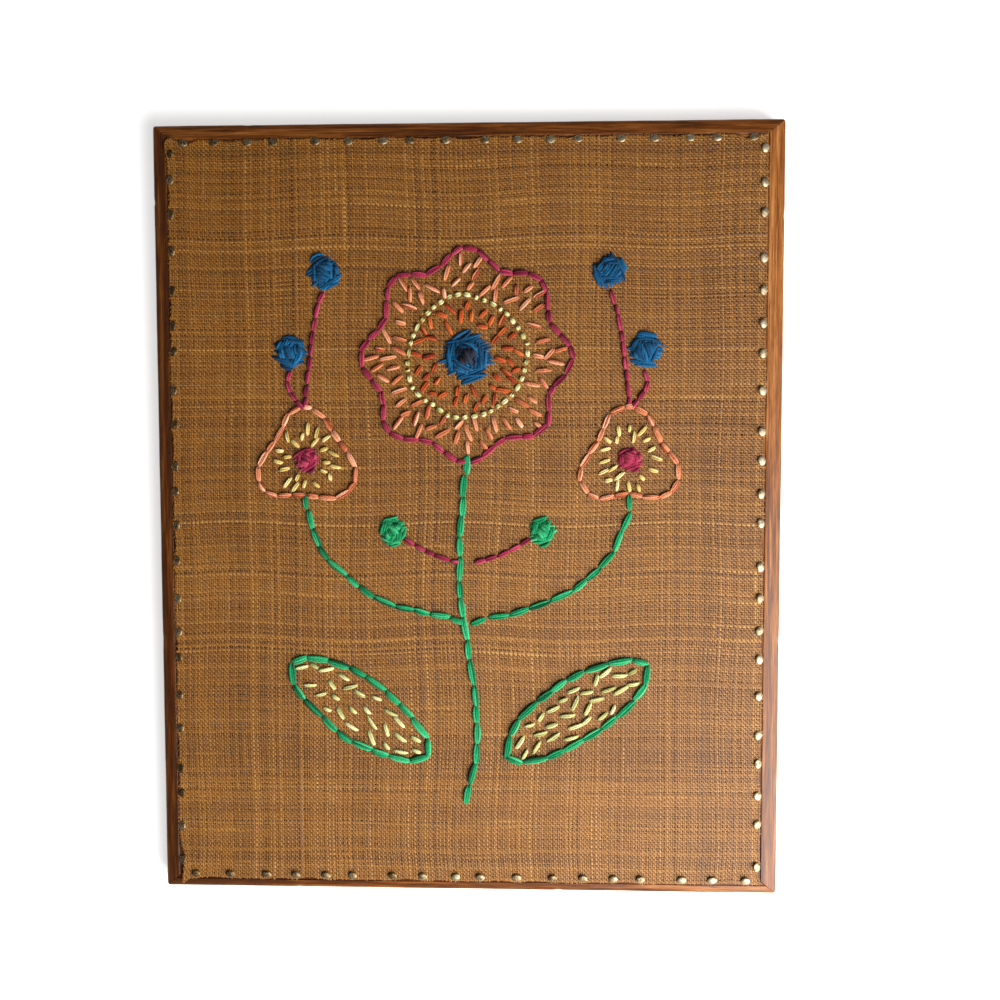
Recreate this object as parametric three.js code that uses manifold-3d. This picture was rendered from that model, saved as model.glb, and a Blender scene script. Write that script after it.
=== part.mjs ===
// Framed embroidery: a burlap sheet tacked on the ledge of a mitred wooden frame, with a back panel
// behind it and wool stitching on its face. It lies on its back: +X is the picture's right, +Y its
// top and +Z points out of the face. The origin is the middle of the back, on the surface below.
// All sizes are in millimetres.
import * as THREE from 'three';
import { mergeVertices } from 'three/addons/utils/BufferGeometryUtils.js';
import Module from 'manifold-3d';

const wasm = await Module();
wasm.setup();

// Frame: bars from the outer edge to the sight edge, with a lip, a ledge and a rebate
const FRAME_WIDTH = 432;
const FRAME_HEIGHT = 534;
const FRAME_DEPTH = 18;
const STILE_WIDTH = 26;
const RAIL_WIDTH = 21;
const MEAN_LIP_SHARE = 0.37;
const LIP_FALL = 2.2;
const LEDGE_HEIGHT = 16;
const REBATE_HEIGHT = 11;
const REBATE_SHARE = 0.24;
const EDGE_ROUND = 1.5;
const GAP = 0.3;

// Cloth and back panel
const CLOTH_THICKNESS = 1.3;
const CLOTH_FROM_LIP = 0.6;
const SCALLOP_DEPTH = 2.0;
const SCALLOP_MEAN = 0.6;
const SCALLOP_SWING = 0.4;
const EDGE_LIFT = 0.9;
const EDGE_BAND = 4;
const POINTS_PER_BAY = 3;
const PANEL_THICKNESS = 3;

// Tacks: a domed head on a short shank, leaning outward
const TACK_HEAD_RADIUS = 3.3;
const TACK_HEAD_HEIGHT = 1.3;
const TACK_SHANK_RADIUS = 0.7;
const TACK_SHANK_LENGTH = 7.5;
const TACK_POINT_LENGTH = 1.4;
const TACK_SIDES = 8;
const TACK_TILT = THREE.MathUtils.degToRad(20);
const TACK_TILT_SWING = THREE.MathUtils.degToRad(5);
const TACK_FROM_LIP = 3.4;
const TACK_FROM_CORNER = 12;
const TACK_SPACING_SWING = 0.3;
const SOLID_TACK_STRIDE = 2;
const DRILL_RADIUS = 1.12;
const DRILL_SIDES = 6;
const TACK_HEAD_PROFILE = [
  { reach: 1, rise: 0 },
  { reach: 0.94, rise: 0.5 },
  { reach: 0.6, rise: 0.88 },
  { reach: 0, rise: 1 },
];

// How fast each unevenness runs along a side, in radians a tack
const SPACING_RATE = 2.1;
const SPACING_DRIFT_RATE = 0.7;
const TILT_RATE = 2.3;
const SCALLOP_RATE = 1.9;

// Wool: stitched lines are low ridges and knots are low mounds
const YARN_WIDTH = 4.8;
const YARN_HEIGHT = 2.3;
const YARN_SHOULDER_OUT = 0.74;
const YARN_SHOULDER_UP = 0.72;
const YARN_STEP = 9;
const RING_OPENING = 0.006;
const MOUND_SIDES = 12;
const MOUND_PROFILE = [
  { reach: 1, rise: 0 },
  { reach: 0.92, rise: 0.6 },
  { reach: 0.55, rise: 0.92 },
  { reach: 0, rise: 1 },
];

// A plain flower spray: one round bloom on a stem, with two leaves, two blossoms and four berries
const STEM = { bottom: -205, top: 27, sway: 6 };
const BLOOM = { x: 0, y: 108, radius: 68, lobes: 8, depth: 0.09, turn: Math.PI / 8 };
const BLOOM_RING = { x: 0, y: 108, radius: 41, lobes: 8, depth: 0, turn: 0 };
const BLOOM_HEART = { x: 0, y: 108, radius: 18, height: 3.4 };
const LEAF = { x: 76, y: -138, length: 118, width: 42, turn: 0.6 };
const BRANCH = { from: [13, -72], bend: [98, -62], to: [112, 2] };
const BLOSSOM = { x: 112, y: 38, radius: 31, lobes: 3, depth: 0.2, turn: -Math.PI / 2 };
const BERRIES = [
  { name: 'low', x: 122, y: 112, radius: 12, height: 3.2 },
  { name: 'high', x: 98, y: 166, radius: 12, height: 3.2 },
];

const CLOTH_BOTTOM = LEDGE_HEIGHT + GAP;
const CLOTH_TOP = CLOTH_BOTTOM + CLOTH_THICKNESS;
const YARN_BOTTOM = CLOTH_TOP + GAP;
const MERGE_DISTANCE = 1e-4;

const LOOKS = {
  wood: { color: 0x7a4a26, roughness: 0.45, metalness: 0 },
  hardboard: { color: 0x4a3120, roughness: 0.4, metalness: 0 },
  burlap: { color: 0xa87a42, roughness: 0.95, metalness: 0 },
  steel: { color: 0xb9b2a4, roughness: 0.35, metalness: 1 },
  green: { color: 0x1f9a63, roughness: 0.95, metalness: 0 },
  magenta: { color: 0xa32d58, roughness: 0.95, metalness: 0 },
  lime: { color: 0xb7c26a, roughness: 0.95, metalness: 0 },
  blue: { color: 0x0a5f8e, roughness: 0.95, metalness: 0 },
  coral: { color: 0xd07a58, roughness: 0.95, metalness: 0 },
};

// Each side turns by quarter turns from the bottom one. span is its outer length, width is the bar
// from its outer edge to the sight edge, across is the width of the bars that it meets, and lip is
// the width of its own lip.
const RAIL = { span: FRAME_WIDTH, width: RAIL_WIDTH, across: STILE_WIDTH };
const STILE = { span: FRAME_HEIGHT, width: STILE_WIDTH, across: RAIL_WIDTH };
const SIDES = [
  { side: 'bottom', turn: 0, tacks: 18, phase: 0.4, lip: 6.2, ...RAIL },
  { side: 'right', turn: 1, tacks: 22, phase: 1.7, lip: 10.6, ...STILE },
  { side: 'top', turn: 2, tacks: 18, phase: 2.9, lip: 9.2, ...RAIL },
  { side: 'left', turn: 3, tacks: 22, phase: 4.1, lip: 9.0, ...STILE },
];

function namedMesh(name, geometry, look) {
  const mesh = new THREE.Mesh(geometry, new THREE.MeshStandardMaterial(LOOKS[look]));
  mesh.name = name;
  return mesh;
}

function toSolid(geometry) {
  const bare = geometry.clone();
  bare.deleteAttribute('normal');
  bare.deleteAttribute('uv');
  const merged = mergeVertices(bare, MERGE_DISTANCE);
  return new wasm.Manifold(new wasm.Mesh({
    numProp: 3,
    vertProperties: new Float32Array(merged.attributes.position.array),
    triVerts: new Uint32Array(merged.index.array),
  }));
}

function fromSolid(solid) {
  const mesh = solid.getMesh();
  const geometry = new THREE.BufferGeometry();
  geometry.setAttribute('position', new THREE.BufferAttribute(new Float32Array(mesh.vertProperties), 3));
  geometry.setIndex(new THREE.BufferAttribute(new Uint32Array(mesh.triVerts), 1));
  geometry.computeVertexNormals();
  return geometry;
}

function cutHoles(geometry, drills) {
  let solid = toSolid(geometry);
  for (const drill of drills) {
    solid = solid.subtract(toSolid(drill));
  }
  return fromSolid(solid);
}

// A round form from a table of shares of its radius and height, closed by a flat underside
function roundGeometry(profile, sides) {
  const round = new THREE.LatheGeometry(profile, sides);
  return round.rotateX(Math.PI / 2);
}

function scaledProfile(table, radius, height) {
  return table.map(({ reach, rise }) => new THREE.Vector2(reach * radius, rise * height));
}

// Each side has its own frame: x runs along the bar and y points inward from its outer edge
function sideMatrix(side) {
  const spread = side.turn % 2 === 0 ? FRAME_HEIGHT : FRAME_WIDTH;
  const turn = new THREE.Matrix4().makeRotationZ(side.turn * Math.PI / 2);
  return turn.multiply(new THREE.Matrix4().makeTranslation(0, -spread / 2, 0));
}

function lipWidth(side) {
  return side.lip;
}

// Bar section: a lip that falls outward, the ledge for the cloth, the sight edge and the rebate
function barSection(side) {
  const lip = lipWidth(side);
  const rebateWall = side.width * (1 - REBATE_SHARE);
  const outerTop = FRAME_DEPTH - LIP_FALL;
  const section = new THREE.Shape();
  section.moveTo(0, 0);
  section.lineTo(rebateWall, 0);
  section.lineTo(rebateWall, REBATE_HEIGHT);
  section.lineTo(side.width, REBATE_HEIGHT);
  section.lineTo(side.width, LEDGE_HEIGHT);
  section.lineTo(lip, LEDGE_HEIGHT);
  section.lineTo(lip, FRAME_DEPTH);
  section.lineTo(EDGE_ROUND, outerTop);
  section.absarc(EDGE_ROUND, outerTop - EDGE_ROUND, EDGE_ROUND, Math.PI / 2, Math.PI, false);
  section.lineTo(0, 0);
  return section;
}

// The section is extruded by one unit, then drawn out along x with each end cut back at the mitre
function barGeometry(side) {
  const mitre = side.across / side.width;
  const endGap = GAP / 2 * Math.hypot(1, mitre);
  const options = { depth: 1, steps: 1, bevelEnabled: false, curveSegments: 3 };
  const bar = new THREE.ExtrudeGeometry(barSection(side), options);
  const points = bar.attributes.position;
  for (let i = 0; i < points.count; i += 1) {
    const inward = points.getX(i);
    const half = side.span / 2 - inward * mitre - endGap;
    const along = points.getZ(i) < 0.5 ? -half : half;
    points.setXYZ(i, along, inward, points.getY(i));
  }
  return bar;
}

// Tacks are driven by eye, so the spacing swings about its mean
function tackPlaces(side) {
  const start = side.across * MEAN_LIP_SHARE + TACK_FROM_CORNER - side.span / 2;
  const gaps = [];
  for (let i = 0; i < side.tacks - 1; i += 1) {
    const swing = Math.sin(SPACING_RATE * i + side.phase) * Math.cos(SPACING_DRIFT_RATE * i);
    gaps.push(1 + TACK_SPACING_SWING * swing);
  }
  const total = gaps.reduce((sum, gap) => sum + gap, 0);
  const places = [start];
  for (const gap of gaps) {
    places.push(places.at(-1) - 2 * start * gap / total);
  }
  return places;
}

// A tack leans outward, with its point towards the middle of the picture
function tackPlacement(side, index, along) {
  const tilt = TACK_TILT + TACK_TILT_SWING * Math.sin(TILT_RATE * index + side.phase);
  const rise = TACK_HEAD_RADIUS * Math.sin(tilt);
  const placement = new THREE.Object3D();
  placement.position.set(along, lipWidth(side) + TACK_FROM_LIP, CLOTH_TOP + GAP + rise);
  placement.rotation.x = tilt;
  placement.updateMatrix();
  return placement.matrix;
}

function tackGeometry() {
  const profile = [
    new THREE.Vector2(0, -TACK_SHANK_LENGTH),
    new THREE.Vector2(TACK_SHANK_RADIUS, TACK_POINT_LENGTH - TACK_SHANK_LENGTH),
    new THREE.Vector2(TACK_SHANK_RADIUS, 0),
    ...scaledProfile(TACK_HEAD_PROFILE, TACK_HEAD_RADIUS, TACK_HEAD_HEIGHT),
  ];
  return roundGeometry(profile, TACK_SIDES);
}

// Clearance hole round a shank, through the cloth and into the ledge
function drillGeometry(placement) {
  const length = TACK_SHANK_LENGTH + GAP;
  const drill = new THREE.CylinderGeometry(DRILL_RADIUS, DRILL_RADIUS, length, DRILL_SIDES);
  drill.rotateX(Math.PI / 2);
  drill.translate(0, 0, -length / 2);
  return drill.applyMatrix4(placement);
}

// Cloth edge in bays between neighbouring tacks: each bay draws back and lifts a little.
// The rim is the raw edge, and the inner ring is where the sheet lies flat.
function clothRings() {
  const rim = [];
  const inner = [];
  for (const side of SIDES) {
    const matrix = sideMatrix(side);
    const seat = lipWidth(side) + CLOTH_FROM_LIP;
    const flatFrom = seat + SCALLOP_DEPTH + EDGE_BAND;
    const corner = side.span / 2 - side.across * MEAN_LIP_SHARE - CLOTH_FROM_LIP - SCALLOP_DEPTH;
    const stops = [-corner, ...tackPlaces(side), corner];
    for (let bay = 0; bay < stops.length - 1; bay += 1) {
      const uneven = SCALLOP_MEAN + SCALLOP_SWING * Math.sin(SCALLOP_RATE * bay + side.phase);
      for (let step = 0; step < POINTS_PER_BAY; step += 1) {
        const share = step / POINTS_PER_BAY;
        const along = THREE.MathUtils.lerp(stops[bay], stops[bay + 1], share);
        const swell = Math.sin(Math.PI * share);
        const edge = new THREE.Vector3(along, seat + SCALLOP_DEPTH * swell * uneven, EDGE_LIFT * swell);
        rim.push(edge.applyMatrix4(matrix));
        if (Math.abs(along) < corner - EDGE_BAND) {
          inner.push(new THREE.Vector3(along, flatFrom, 0).applyMatrix4(matrix));
        }
      }
    }
  }
  return { rim, inner };
}

// Strip between two rings that run the same way round, always closing the shorter diagonal
function ringStrip(outer, inner) {
  const triangles = [];
  let a = 0;
  let b = 0;
  while (a < outer.length || b < inner.length) {
    const [hereA, nextA] = [a % outer.length, (a + 1) % outer.length];
    const [hereB, nextB] = [b % inner.length, (b + 1) % inner.length];
    const outerStep = outer[nextA].distanceTo(inner[hereB]);
    const innerStep = inner[nextB].distanceTo(outer[hereA]);
    if (b >= inner.length || (a < outer.length && outerStep <= innerStep)) {
      triangles.push([['outer', hereA], ['outer', nextA], ['inner', hereB]]);
      a += 1;
    } else {
      triangles.push([['outer', hereA], ['inner', nextB], ['inner', hereB]]);
      b += 1;
    }
  }
  return triangles;
}

function clothGeometry() {
  const { rim, inner } = clothRings();
  const positions = [];
  const first = {};
  for (const [face, height] of [['top', CLOTH_TOP], ['under', CLOTH_BOTTOM]]) {
    for (const [ring, points] of [['outer', rim], ['inner', inner]]) {
      first[face + ring] = positions.length / 3;
      points.forEach((point) => positions.push(point.x, point.y, height + point.z));
    }
  }
  const index = (face, [ring, i]) => first[face + ring] + i;
  const flat = inner.map((point) => new THREE.Vector2(point.x, point.y));
  const fill = THREE.ShapeUtils.triangulateShape(flat, []);
  const middle = fill.map((corners) => corners.map((i) => ['inner', i]));
  const triangles = [];
  for (const [p, q, r] of [...ringStrip(rim, inner), ...middle]) {
    triangles.push(index('top', p), index('top', q), index('top', r));
    triangles.push(index('under', p), index('under', r), index('under', q));
  }
  for (let i = 0; i < rim.length; i += 1) {
    const here = ['outer', i];
    const next = ['outer', (i + 1) % rim.length];
    triangles.push(index('top', here), index('under', here), index('under', next));
    triangles.push(index('top', here), index('under', next), index('top', next));
  }
  const cloth = new THREE.BufferGeometry();
  cloth.setAttribute('position', new THREE.Float32BufferAttribute(positions, 3));
  cloth.setIndex(triangles);
  return cloth;
}

function panelGeometry() {
  const share = 1 - REBATE_SHARE;
  const width = FRAME_WIDTH - 2 * STILE_WIDTH * share - 2 * GAP;
  const height = FRAME_HEIGHT - 2 * RAIL_WIDTH * share - 2 * GAP;
  const panel = new THREE.BoxGeometry(width, height, PANEL_THICKNESS);
  return panel.translate(0, 0, REBATE_HEIGHT - GAP - PANEL_THICKNESS / 2);
}

// A stitched line lies flat on the cloth and follows a formula of t from 0 to 1
class FlatPath extends THREE.Curve {
  constructor(place) {
    super();
    this.place = place;
  }

  getPoint(t, target = new THREE.Vector3()) {
    const [x, y] = this.place(t);
    return target.set(x, y, YARN_BOTTOM);
  }
}

// On a flat path the section's first coordinate points down, so heights are negative
function ridgeSection() {
  const half = YARN_WIDTH / 2;
  const shoulder = -YARN_SHOULDER_UP * YARN_HEIGHT;
  return new THREE.Shape([
    new THREE.Vector2(0, -half),
    new THREE.Vector2(0, half),
    new THREE.Vector2(shoulder, YARN_SHOULDER_OUT * half),
    new THREE.Vector2(-YARN_HEIGHT, 0),
    new THREE.Vector2(shoulder, -YARN_SHOULDER_OUT * half),
  ]);
}

function ridgeGeometry(place) {
  const path = new FlatPath(place);
  const steps = Math.ceil(path.getLength() / YARN_STEP);
  return new THREE.ExtrudeGeometry(ridgeSection(), { steps, extrudePath: path, bevelEnabled: false });
}

// A ring of stitches starts and ends at one place, with a hair of cloth between
function openRing(place) {
  return (t) => place(RING_OPENING + t * (1 - 2 * RING_OPENING));
}

function lobedRing({ x, y, radius, lobes, depth, turn }) {
  return openRing((t) => {
    const angle = 2 * Math.PI * t + turn;
    const reach = radius * (1 + depth * Math.cos(lobes * (angle - Math.PI / 2)));
    return [x + reach * Math.cos(angle), y + reach * Math.sin(angle)];
  });
}

function leafRing({ x, y, length, width, turn }) {
  const middle = new THREE.Vector2(x, y);
  return openRing((t) => {
    const angle = 2 * Math.PI * t;
    const point = new THREE.Vector2(length / 2 * Math.cos(angle), width / 2 * Math.sin(angle));
    return point.rotateAround(new THREE.Vector2(), turn).add(middle).toArray();
  });
}

function bentLine({ from, bend, to }) {
  const curve = new THREE.QuadraticBezierCurve(...[from, bend, to].map((p) => new THREE.Vector2(...p)));
  return (t) => curve.getPoint(t).toArray();
}

function swayingLine({ bottom, top, sway }) {
  return (t) => [sway * Math.sin(2 * Math.PI * t), THREE.MathUtils.lerp(bottom, top, t)];
}

function moundGeometry({ x, y, radius, height }) {
  const profile = [new THREE.Vector2(0, 0), ...scaledProfile(MOUND_PROFILE, radius, height)];
  return roundGeometry(profile, MOUND_SIDES).translate(x, y, YARN_BOTTOM);
}

function mirrored(place) {
  return (t) => {
    const [x, y] = place(t);
    return [-x, y];
  };
}

function stitching() {
  const pieces = [
    namedMesh('stitch_stem', ridgeGeometry(swayingLine(STEM)), 'green'),
    namedMesh('stitch_bloom', ridgeGeometry(lobedRing(BLOOM)), 'magenta'),
    namedMesh('stitch_bloom_ring', ridgeGeometry(lobedRing(BLOOM_RING)), 'lime'),
    namedMesh('stitch_bloom_heart', moundGeometry(BLOOM_HEART), 'blue'),
  ];
  const pairs = [
    { name: 'stitch_leaf', place: leafRing(LEAF), look: 'green' },
    { name: 'stitch_branch', place: bentLine(BRANCH), look: 'green' },
    { name: 'stitch_blossom', place: lobedRing(BLOSSOM), look: 'coral' },
  ];
  for (const { name, place, look } of pairs) {
    pieces.push(namedMesh(`${name}_right`, ridgeGeometry(place), look));
    pieces.push(namedMesh(`${name}_left`, ridgeGeometry(mirrored(place)), look));
  }
  for (const berry of BERRIES) {
    const name = `stitch_berry_${berry.name}`;
    pieces.push(namedMesh(`${name}_right`, moundGeometry(berry), 'blue'));
    pieces.push(namedMesh(`${name}_left`, moundGeometry({ ...berry, x: -berry.x }), 'blue'));
  }
  return pieces;
}

// Every second tack is a solid, so that the object keeps to sixty pieces
function framedEmbroidery() {
  const object = new THREE.Group();
  const clothDrills = [];
  for (const side of SIDES) {
    const group = new THREE.Group();
    group.applyMatrix4(sideMatrix(side));
    const places = tackPlaces(side);
    const barDrills = [];
    for (let i = 0; i < places.length; i += SOLID_TACK_STRIDE) {
      const placement = tackPlacement(side, i, places[i]);
      const tack = namedMesh(`tack_${side.side}_${i + 1}`, tackGeometry(), 'steel');
      tack.applyMatrix4(placement);
      group.add(tack);
      barDrills.push(drillGeometry(placement));
      clothDrills.push(drillGeometry(placement).applyMatrix4(sideMatrix(side)));
    }
    group.add(namedMesh(`frame_${side.side}`, cutHoles(barGeometry(side), barDrills), 'wood'));
    object.add(group);
  }
  object.add(namedMesh('back_panel', panelGeometry(), 'hardboard'));
  object.add(namedMesh('cloth', cutHoles(clothGeometry(), clothDrills), 'burlap'));
  object.add(...stitching());
  return object;
}

export default framedEmbroidery();
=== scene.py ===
# Framed embroidery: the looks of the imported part, in metres and in its frame.
# +X is the picture's right, +Y its top and +Z points out of its face; it lies on its back on the floor.
import math

import bpy
import mathutils
import numpy as np
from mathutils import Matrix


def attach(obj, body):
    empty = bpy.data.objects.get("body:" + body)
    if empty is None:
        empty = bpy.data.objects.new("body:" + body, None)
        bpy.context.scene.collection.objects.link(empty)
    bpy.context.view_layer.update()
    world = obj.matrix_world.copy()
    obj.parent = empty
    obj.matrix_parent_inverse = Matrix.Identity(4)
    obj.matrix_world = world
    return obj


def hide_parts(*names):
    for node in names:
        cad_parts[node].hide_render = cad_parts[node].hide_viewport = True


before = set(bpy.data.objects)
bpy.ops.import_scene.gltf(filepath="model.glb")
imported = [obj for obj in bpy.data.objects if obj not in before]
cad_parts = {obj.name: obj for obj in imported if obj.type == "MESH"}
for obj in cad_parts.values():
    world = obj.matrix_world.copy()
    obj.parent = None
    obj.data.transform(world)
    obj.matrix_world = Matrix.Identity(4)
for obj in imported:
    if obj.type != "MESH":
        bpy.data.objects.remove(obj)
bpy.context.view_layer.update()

MM = 0.001

# Frame bars, as in the part's source (millimetres)
FRAME_WIDTH = 432.0
FRAME_HEIGHT = 534.0
FRAME_DEPTH = 18.0
STILE_WIDTH = 26.0
RAIL_WIDTH = 21.0
MEAN_LIP_SHARE = 0.37
LIP_FALL = 2.2
LEDGE_HEIGHT = 16.0
REBATE_HEIGHT = 11.0
REBATE_SHARE = 0.24
MITRE_GAP = 0.3

# The drawn ledge is a little higher and the drawn lip a little lower, to close the part's working gaps
LEDGE_SEEN = 16.6
LIP_TOP_SEEN = 17.5

# How fast each unevenness runs along a side, in radians a tack, as in the part's source
SPACING_RATE = 2.1
SPACING_DRIFT_RATE = 0.7
TILT_RATE = 2.3
SCALLOP_RATE = 1.9

# Tacks, as in the part's source but for their seat
TACK_RADIUS = 3.3
TACK_SHANK_RADIUS = 0.7
TACK_SHANK_LENGTH = 7.5
TACK_TILT = math.radians(20)
TACK_TILT_SWING = math.radians(5)
TACK_FROM_CORNER = 12.0
TACK_SPACING_SWING = 0.3
TACK_SEAT = 16.7

# Cloth: the nominal edge, the scallops between tacks and the weave
CLOTH_FROM_LIP = 0.4
CLOTH_MIDDLE = 17.0
SCALLOP_DEPTH = 2.0
SCALLOP_MEAN = 0.6
SCALLOP_SWING = 0.4
SCALLOP_REACH = 7.0
EDGE_LIFT = 1.3
LIFT_REACH = 2.6
EDGE_CURL = 0.6
CURL_REACH = 1.8
THREAD_PITCH = 1.53
THREAD_CRIMP = 0.2
THREAD_ROUNDNESS = 0.45
WARP_FULLNESS = 0.76
WEFT_FULLNESS = 0.86

# How threads differ: stray from even spacing, thickness, tone, wander, width, loose ends and slubs
THREAD_STRAY = 0.085
THICKNESS_SWING = 0.17
THICKNESS_RANGE = (0.62, 1.5)
THREAD_TONE = (0.46, 0.14)
WANDER_STEP = 0.02
MOST_WANDER = 0.28
WIDTH_SWING = 0.1
FRINGE = 0.35
MOST_FRINGE = 0.9
SLUBS_A_THREAD = 0.9
SLUB_REACH = (5, 26)
SLUB_SWELL = (0.15, 0.55)
SLUB_PALENESS = 0.35

# How far threads bow within the sheet, and how far in from its edge they are free to
BOW = 1.7
BOW_MARGIN = 22.0

# Sides: turn is in quarter turns from the bottom one, across is the width of the bars it meets, lip is
# its lip's width, line is how far in its tacks stand, and tone is how light its wood is drawn at the left
# or
# lower end and at the other end: partly the wood's own tone, partly painted shade at the left and lower
# left and painted light at the right, standing in for light from the right
RAIL = {"span": FRAME_WIDTH, "width": RAIL_WIDTH, "across": STILE_WIDTH, "tacks": 18}
STILE = {"span": FRAME_HEIGHT, "width": STILE_WIDTH, "across": RAIL_WIDTH, "tacks": 22}
SIDES = [
    {"side": "bottom", "turn": 0, "phase": 0.4, "lip": 6.2, "line": 9.6, "tone": (-0.12, -0.01), **RAIL},
    {"side": "right", "turn": 1, "phase": 1.7, "lip": 11.4, "line": 14.0, "tone": (-0.04, 0.06), **STILE},
    {"side": "top", "turn": 2, "phase": 2.9, "lip": 10.0, "line": 12.6, "tone": (-0.05, 0.0), **RAIL},
    {"side": "left", "turn": 3, "phase": 4.1, "lip": 9.8, "line": 12.4, "tone": (-0.10, -0.09), **STILE},
]
LIPS = {side["side"]: side["lip"] for side in SIDES}
CLOTH_CENTRE = ((LIPS["left"] - LIPS["right"]) / 2, (LIPS["bottom"] - LIPS["top"]) / 2)
CLOTH_HALF_WIDTH = (FRAME_WIDTH - LIPS["left"] - LIPS["right"]) / 2 - CLOTH_FROM_LIP
CLOTH_HALF_HEIGHT = (FRAME_HEIGHT - LIPS["bottom"] - LIPS["top"]) / 2 - CLOTH_FROM_LIP


# Materials

class Nodes:
    """Small helper that adds nodes to one material and joins them."""

    def __init__(self, name):
        self.material = bpy.data.materials.new(name)
        self.material.use_nodes = True
        self.tree = self.material.node_tree
        self.shader = self.tree.nodes["Principled BSDF"]

    def add(self, kind, **settings):
        node = self.tree.nodes.new(kind)
        for key, value in settings.items():
            setattr(node, key, value)
        return node

    def join(self, source, target):
        self.tree.links.new(source, target)

    def attribute(self, name, output="Fac"):
        return self.add("ShaderNodeAttribute", attribute_name=name).outputs[output]

    def uv(self, name):
        return self.add("ShaderNodeUVMap", uv_map=name).outputs["UV"]

    def mapped(self, vector, scale):
        mapping = self.add("ShaderNodeMapping")
        mapping.inputs["Scale"].default_value = scale
        self.join(vector, mapping.inputs["Vector"])
        return mapping.outputs["Vector"]

    def noise(self, vector, scale, detail=3.0, roughness=0.55, distortion=0.0):
        node = self.add("ShaderNodeTexNoise")
        node.inputs["Scale"].default_value = scale
        node.inputs["Detail"].default_value = detail
        node.inputs["Roughness"].default_value = roughness
        node.inputs["Distortion"].default_value = distortion
        self.join(vector, node.inputs["Vector"])
        return node.outputs["Fac"]

    def math(self, operation, first, second):
        node = self.add("ShaderNodeMath", operation=operation)
        for socket, value in zip(node.inputs, (first, second)):
            if isinstance(value, (int, float)):
                socket.default_value = value
            else:
                self.join(value, socket)
        return node.outputs["Value"]

    def spread(self, value, low, high):
        node = self.add("ShaderNodeMapRange")
        node.inputs["To Min"].default_value = low
        node.inputs["To Max"].default_value = high
        self.join(value, node.inputs["Value"])
        return node.outputs["Result"]

    def ramp(self, value, stops):
        node = self.add("ShaderNodeValToRGB")
        elements = node.color_ramp.elements
        while len(elements) < len(stops):
            elements.new(0.5)
        for element, (place, colour) in zip(elements, stops):
            element.position = place
            element.color = (*colour, 1.0)
        self.join(value, node.inputs["Fac"])
        return node.outputs["Color"]

    def mix(self, share, first, second, blend="MIX"):
        node = self.add("ShaderNodeMix", data_type="RGBA", blend_type=blend)
        sockets = [node.inputs[index] for index in (0, 6, 7)]
        for socket, value in zip(sockets, (share, first, second)):
            if isinstance(value, (int, float)):
                socket.default_value = value
            elif isinstance(value, tuple):
                socket.default_value = (*value, 1.0)
            else:
                self.join(value, socket)
        return node.outputs[2]

    def bump(self, height, strength, distance):
        node = self.add("ShaderNodeBump")
        node.inputs["Strength"].default_value = strength
        node.inputs["Distance"].default_value = distance
        self.join(height, node.inputs["Height"])
        self.join(node.outputs["Normal"], self.shader.inputs["Normal"])

    def colour(self, output):
        self.join(output, self.shader.inputs["Base Color"])

    def set(self, **values):
        for key, value in values.items():
            self.shader.inputs[key.replace("_", " ")].default_value = value


def object_place(nodes):
    return nodes.add("ShaderNodeTexCoord").outputs["Object"]


MOST_WEAR = 0.8
RUBBED_WOOD = (0.36, 0.16, 0.045)


def wood_material():
    """Varnished reddish wood with grain along the bar, open pores and rubbed edges."""
    nodes = Nodes("wood")
    grain = nodes.attribute("grain", "Vector")
    broad = nodes.noise(nodes.mapped(grain, (6.0, 170.0, 170.0)), 1.0, 5.0, 0.6, 0.8)
    fine = nodes.noise(nodes.mapped(grain, (26.0, 780.0, 780.0)), 1.0, 3.0, 0.65)
    pores = nodes.noise(nodes.mapped(grain, (90.0, 1900.0, 1900.0)), 1.0, 2.0, 0.5)
    figure = nodes.math("ADD", nodes.math("MULTIPLY", broad, 0.5), nodes.math("MULTIPLY", fine, 0.5))
    # The tone attribute shifts the whole figure: partly the wood's own tone, partly painted shade and
    # painted light
    figure = nodes.math("ADD", figure, nodes.attribute("tone"))
    base = nodes.ramp(figure, [
        (0.39, (0.060, 0.015, 0.002)),
        (0.48, (0.160, 0.044, 0.005)),
        (0.56, (0.280, 0.095, 0.018)),
        (0.64, (0.450, 0.185, 0.055)),
    ])
    pitted = nodes.ramp(pores, [(0.30, (0.35, 0.30, 0.26)), (0.42, (1.0, 1.0, 1.0))])
    base = nodes.mix(0.8, base, pitted, "MULTIPLY")
    wear_noise = nodes.noise(nodes.mapped(grain, (60.0, 300.0, 300.0)), 1.0, 4.0, 0.6)
    wear = nodes.math("MULTIPLY", nodes.attribute("wear"), nodes.spread(wear_noise, -0.6, 1.5))
    rubbed = nodes.math("MINIMUM", nodes.math("MAXIMUM", wear, 0.0), MOST_WEAR)
    base = nodes.mix(rubbed, base, RUBBED_WOOD)
    nodes.colour(base)
    nodes.join(nodes.spread(fine, 0.30, 0.55), nodes.shader.inputs["Roughness"])
    nodes.bump(nodes.math("ADD", pores, fine), 0.35, 0.0002)
    nodes.set(Specular_IOR_Level=0.15, Coat_Weight=0.45, Coat_Roughness=0.34)
    return nodes.material


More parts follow.
